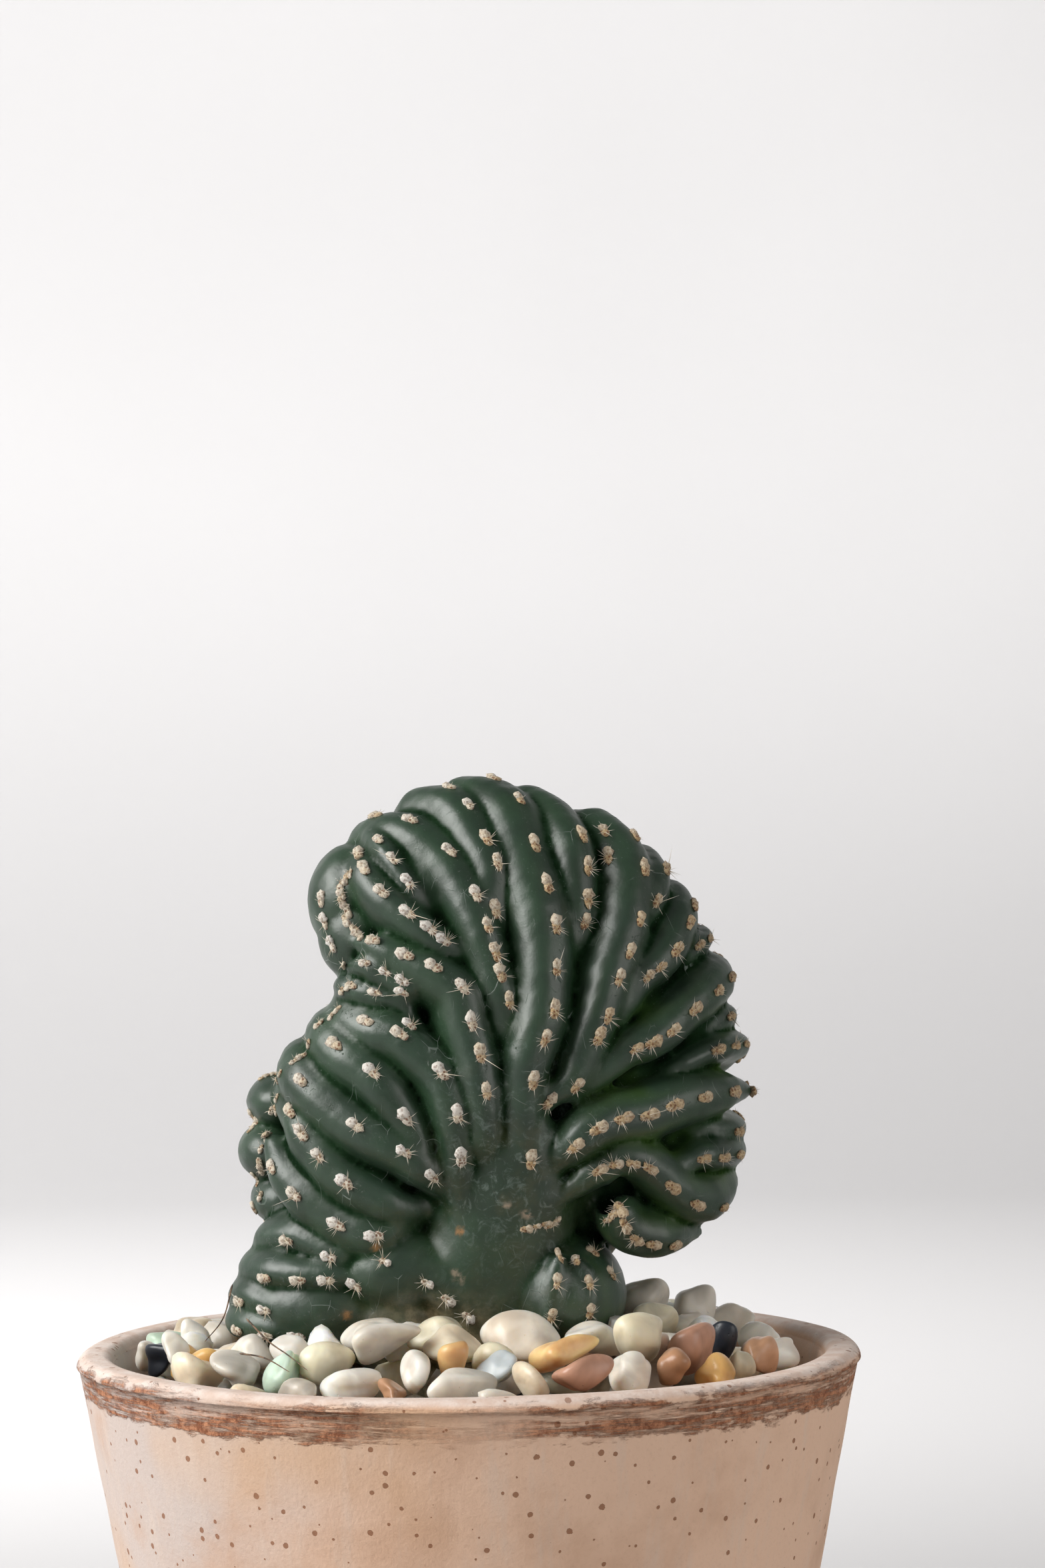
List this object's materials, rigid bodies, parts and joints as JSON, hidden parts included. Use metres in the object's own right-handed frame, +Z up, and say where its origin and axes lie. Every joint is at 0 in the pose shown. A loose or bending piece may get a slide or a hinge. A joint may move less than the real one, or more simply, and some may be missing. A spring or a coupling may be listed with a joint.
{
  "type": "potted crested cactus",
  "caption": "Crested cactus, a rooted fan of folded ribs with a knob and a side lobe, in a tapered round clay pot under a top dressing of loose pebbles.",
  "frame": {"origin": "centre of the pot's underside", "axes": "+Z up along the pot's axis, -Y towards the plant's face, +X to the right of someone facing it"},
  "size_m": [0.14, 0.14, 0.221],
  "materials": {
    "whitewashed_clay": "matt, whitewashed, worn",
    "potting_mix": "rough, crumbly",
    "pebble_mix": "polished",
    "cactus_skin": "satin, with a waxy bloom",
    "stone_grey": "polished, slightly translucent",
    "stone_mint": "polished, slightly translucent",
    "stone_straw": "polished, slightly translucent",
    "stone_white": "polished, slightly translucent",
    "stone_tan": "polished, slightly translucent",
    "stone_orange": "polished, slightly translucent",
    "stone_sky": "polished, slightly translucent",
    "stone_cream": "polished, slightly translucent",
    "stone_pink": "polished, slightly translucent",
    "stone_honey": "polished, slightly translucent",
    "stone_black": "polished, slightly translucent"
  },
  "bodies": {
    "root": {"pot": "whitewashed_clay", "potting_mix": "potting_mix", "pebble_bed": "pebble_mix", "cactus": "cactus_skin", "pebble_01": "stone_grey", "pebble_02": "stone_mint", "pebble_03": "stone_straw", "pebble_04": "stone_white", "pebble_05": "stone_tan", "pebble_06": "stone_white", "pebble_07": "stone_orange", "pebble_08": "stone_grey", "pebble_09": "stone_sky", "pebble_10": "stone_cream", "pebble_11": "stone_pink", "pebble_12": "stone_grey", "pebble_13": "stone_tan", "pebble_14": "stone_honey", "pebble_15": "stone_straw", "pebble_16": "stone_tan", "pebble_17": "stone_white", "pebble_18": "stone_honey", "pebble_19": "stone_honey", "pebble_20": "stone_white", "pebble_21": "stone_black", "pebble_22": "stone_white", "pebble_23": "stone_mint", "pebble_24": "stone_cream", "pebble_25": "stone_white", "pebble_26": "stone_white", "pebble_27": "stone_cream", "pebble_28": "stone_orange", "pebble_29": "stone_straw", "pebble_30": "stone_pink", "pebble_31": "stone_black", "pebble_32": "stone_grey", "pebble_33": "stone_cream", "pebble_34": "stone_white", "pebble_35": "stone_white", "pebble_36": "stone_straw", "pebble_37": "stone_white", "pebble_38": "stone_white", "pebble_39": "stone_white", "pebble_40": "stone_grey", "pebble_41": "stone_grey", "pebble_42": "stone_grey", "pebble_43": "stone_grey", "pebble_44": "stone_straw", "pebble_45": "stone_white", "pebble_46": "stone_cream", "pebble_47": "stone_grey", "pebble_48": "stone_white", "pebble_49": "stone_straw", "pebble_50": "stone_cream", "pebble_51": "stone_tan", "pebble_52": "stone_grey", "pebble_53": "stone_white", "pebble_54": "stone_cream"}
  },
  "joints": []
}
